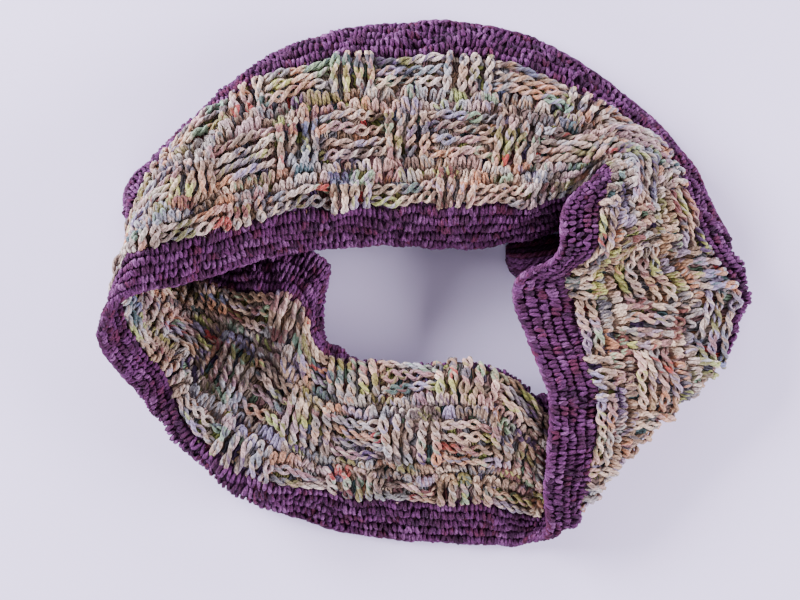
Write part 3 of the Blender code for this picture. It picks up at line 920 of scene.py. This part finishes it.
Dye = namedtuple("Dye", "share red green blue")
MIXED_DYES = [
    Dye(10, 222, 198, 186),
    Dye(9, 200, 168, 154),
    Dye(8, 176, 142, 122),
    Dye(7, 140, 116, 104),
    Dye(5, 104, 82, 80),
    Dye(8, 172, 166, 172),
    Dye(6, 136, 132, 144),
    Dye(4, 92, 88, 106),
    Dye(7, 200, 162, 164),
    Dye(5, 160, 116, 124),
    Dye(3, 190, 134, 108),
    Dye(1, 166, 58, 60),
    Dye(3, 116, 66, 70),
    Dye(3, 176, 182, 110),
    Dye(4, 132, 124, 76),
    Dye(3, 136, 162, 140),
    Dye(2, 76, 98, 104),
    Dye(1, 110, 114, 152),
    Dye(4, 158, 142, 176),
    Dye(2, 84, 60, 104),
]
PLUM_DYES = [
    Dye(5, 70, 26, 66),
    Dye(5, 90, 38, 90),
    Dye(4, 104, 52, 108),
    Dye(3, 128, 76, 132),
    Dye(2, 92, 32, 68),
    Dye(2, 52, 16, 54),
]


def stops_of(dyes):
    """The place of each dye on a scale from 0 to 1, by the dyes' shares, and its colour."""
    total = sum(dye.share for dye in dyes)
    place = 0.0
    stops = []
    for dye in dyes:
        stops.append((place / total, srgb(dye.red, dye.green, dye.blue)))
        place += dye.share
    return stops


def row_colours(make, dyes, run):
    """The dye at each place of a row, and the one that a second ply has there."""
    round_it, row = make.pair("dye")
    warp_at = make.vector(make.math("MULTIPLY", round_it, RUN_WARP_SCALE), row)
    warp = make.math("MULTIPLY", make.noise(1.0, 1.0, warp_at), RUN_WARP)
    place = make.math("ADD", make.math("DIVIDE", round_it, run), warp)
    cell = make.math("FLOOR", place)
    stops = stops_of(dyes)
    here, there, second = (
        make.ramp(make.white(make.vector(make.math("ADD", cell, step + 0.5), row)), stops)
        for step in (0.0, 1.0, SECOND_COLOUR_STEP)
    )
    change = make.span(make.math("FRACT", place), CHANGE_FROM, 1.0)
    return make.mix(change, here, there), second


def yarn_material(name, dyes, look):
    """Plied yarn whose colour changes along each row of stitches, with painted shade in the grooves
    between its plies.
    """
    material, tree, shader = nodes_of(name, look.sheen)
    make = Maker(tree)
    colour, second = row_colours(make, dyes, look.run)
    along, around = make.pair("yarn")
    turn = make.math("ADD", make.math("DIVIDE", along, PLY_TURN), around)
    ply = make.span(make.math("SINE", make.math("MULTIPLY", turn, 2 * np.pi)), *PLY_RANGE)
    colour = make.mix(make.math("MULTIPLY", ply, look.other_ply), colour, second)
    groove = make.math("ABSOLUTE", make.math("SINE", make.math("MULTIPLY", turn, GROOVES * np.pi)))
    # Painted shade: the colour is darker in the grooves between the plies.
    painted_groove_shade = make.span(groove, 0.0, GROOVE_WIDTH, GROOVE_SHADE * look.bright, look.bright)
    spots = make.math("MULTIPLY", make.spots(FLECKS), make.spots(TONES))
    shade = make.math("MULTIPLY", spots, painted_groove_shade)
    pool = make.span(make.noise(POOL_SCALE, 1.0), *POOL_RANGE)
    colour = make.mix(look.pooling, colour, make.mix(pool, COOL_TINT, WARM_TINT), "MULTIPLY")
    make.link(make.shade(colour, shade), shader.inputs["Base Color"])
    fibres = make.math("MULTIPLY", make.noise(FIBRE_SCALE, 2.0), FIBRE_HEIGHT)
    make.link(make.bump(make.math("ADD", groove, fibres), YARN_BUMP), shader.inputs["Normal"])
    return material


def ground_material(name, dyes, bright):
    """The yarn of the cloth behind the strands, painted darker as shade in the gaps between them,
    with painted shade between its windings.
    """
    material, tree, shader = nodes_of(name)
    make = Maker(tree)
    round_it, across = make.pair("dye")
    warp = make.math("MULTIPLY", make.noise(GROUND_WARP_SCALE, 1.0), GROUND_WARP)
    bent = make.math("ADD", round_it, warp)
    turn = make.math("MULTIPLY", bent, np.pi / GROUND_YARN)
    wound = make.math("ABSOLUTE", make.math("SINE", turn))
    cell = make.math("FLOOR", make.math("DIVIDE", bent, GROUND_RUN))
    row = make.math("FLOOR", make.math("DIVIDE", across, ROW))
    colour = make.ramp(make.white(make.vector(cell, row)), stops_of(dyes))
    # Painted shade: the colour is darker where the windings meet.
    painted_groove_shade = make.span(wound, 0.0, 1.0, GROUND_GROOVE_SHADE * bright, bright)
    shade = make.math("MULTIPLY", make.spots(GROUND_FLECKS), painted_groove_shade)
    make.link(make.shade(colour, shade), shader.inputs["Base Color"])
    make.link(make.bump(wound, GROUND_BUMP), shader.inputs["Normal"])
    return material


mixed = yarn_material("mixed_yarn_strands", MIXED_DYES, MIXED_LOOK)
plum = yarn_material("plum_yarn_strands", PLUM_DYES, PLUM_LOOK)
mixed_ground = ground_material("mixed_yarn_ground", MIXED_DYES, MIXED_GROUND_BRIGHT)
plum_ground = ground_material("plum_yarn_ground", PLUM_DYES, PLUM_GROUND_BRIGHT)

# The pieces.
tuck, tuck_core = tuck_yarn(plum, plum_ground)
for piece in (tuck, tuck_core):
    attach(piece, "root")
    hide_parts("pleat_tuck")

for stretch in STRETCHES:
    first = PLACES[stretch.first] * LOOP
    last = PLACES[stretch.last] * LOOP
    if last < first:
        last += LOOP
    yarns = [
        yarn_object("yarn_body_" + stretch.name, body_yarn(first, last), mixed),
        yarn_object("yarn_base_border_" + stretch.name, border_yarn(first, last, False), plum),
        yarn_object("yarn_upper_border_" + stretch.name, border_yarn(first, last, True), plum),
    ]
    for yarn, node in zip(yarns, ("body_", "base_border_", "upper_border_")):
        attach(yarn, "root")
        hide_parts(node + stretch.name)
    if stretch.name == "right":
        yarns += [tuck, tuck_core]
    ground = ground_cloth("cloth_" + stretch.name, first, last, (mixed_ground, plum_ground))
    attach(ground, "root")

# The floor, the lights and the camera, in metres.
FLOOR_REACH = 3.0
FLOOR_CORNERS = ((-1, -1), (1, -1), (1, 1), (-1, 1))
FLOOR_COLOUR = srgb(222, 211, 255)
FLOOR_ROUGHNESS = 0.9
floor_mesh = bpy.data.meshes.new("floor")
floor_corners = [(x * FLOOR_REACH, y * FLOOR_REACH, 0.0) for x, y in FLOOR_CORNERS]
floor_mesh.from_pydata(floor_corners, [], [(0, 1, 2, 3)])
floor = bpy.data.objects.new("floor", floor_mesh)
bpy.context.scene.collection.objects.link(floor)
floor_material = bpy.data.materials.new("floor")
floor_material.use_nodes = True
floor_shader = floor_material.node_tree.nodes["Principled BSDF"]
floor_shader.inputs["Base Color"].default_value = (*FLOOR_COLOUR, 1.0)
floor_shader.inputs["Roughness"].default_value = FLOOR_ROUGHNESS
floor_mesh.materials.append(floor_material)

# Wide low lights that face the middle of the object; power in watts.
Strip = namedtuple("Strip", "name place width height power colour")
STRIPS = [
    Strip("key", (-1.45, 0.75, 0.56), 1.3, 0.35, 137.0, (1.0, 0.98, 1.0)),
    Strip("back", (0.40, 1.50, 0.58), 1.2, 0.4, 22.0, (0.98, 0.96, 1.0)),
    Strip("right", (1.50, -0.20, 0.52), 1.2, 0.4, 66.0, (1.0, 0.96, 0.98)),
    Strip("front", (-0.30, -1.50, 0.52), 1.2, 0.4, 34.0, (1.0, 0.97, 0.98)),
]
WORLD_COLOUR = (1.0, 0.96, 0.96, 1.0)
WORLD_STRENGTH = 0.36
for strip in STRIPS:
    light = bpy.data.lights.new(strip.name, "AREA")
    light.shape = "RECTANGLE"
    light.size = strip.width
    light.size_y = strip.height
    light.energy = strip.power
    light.color = strip.colour
    lamp = bpy.data.objects.new(strip.name, light)
    lamp.location = strip.place
    lamp.rotation_euler = (-Vector(strip.place)).to_track_quat("-Z", "Y").to_euler()
    bpy.context.scene.collection.objects.link(lamp)
world = bpy.data.worlds.new("studio")
bpy.context.scene.world = world
world.use_nodes = True
background = world.node_tree.nodes["Background"]
background.inputs["Color"].default_value = WORLD_COLOUR
background.inputs["Strength"].default_value = WORLD_STRENGTH

# The photograph is taken from straight above.
CAMERA_PLACE = (-0.01819, -0.00929, 0.6)
LENS = 50.0  # millimetres
SENSOR_WIDTH = 36.0
camera_data = bpy.data.cameras.new("camera")
camera_data.lens = LENS
camera_data.sensor_width = SENSOR_WIDTH
camera = bpy.data.objects.new("camera", camera_data)
camera.location = CAMERA_PLACE
bpy.context.scene.collection.objects.link(camera)
bpy.context.scene.camera = camera
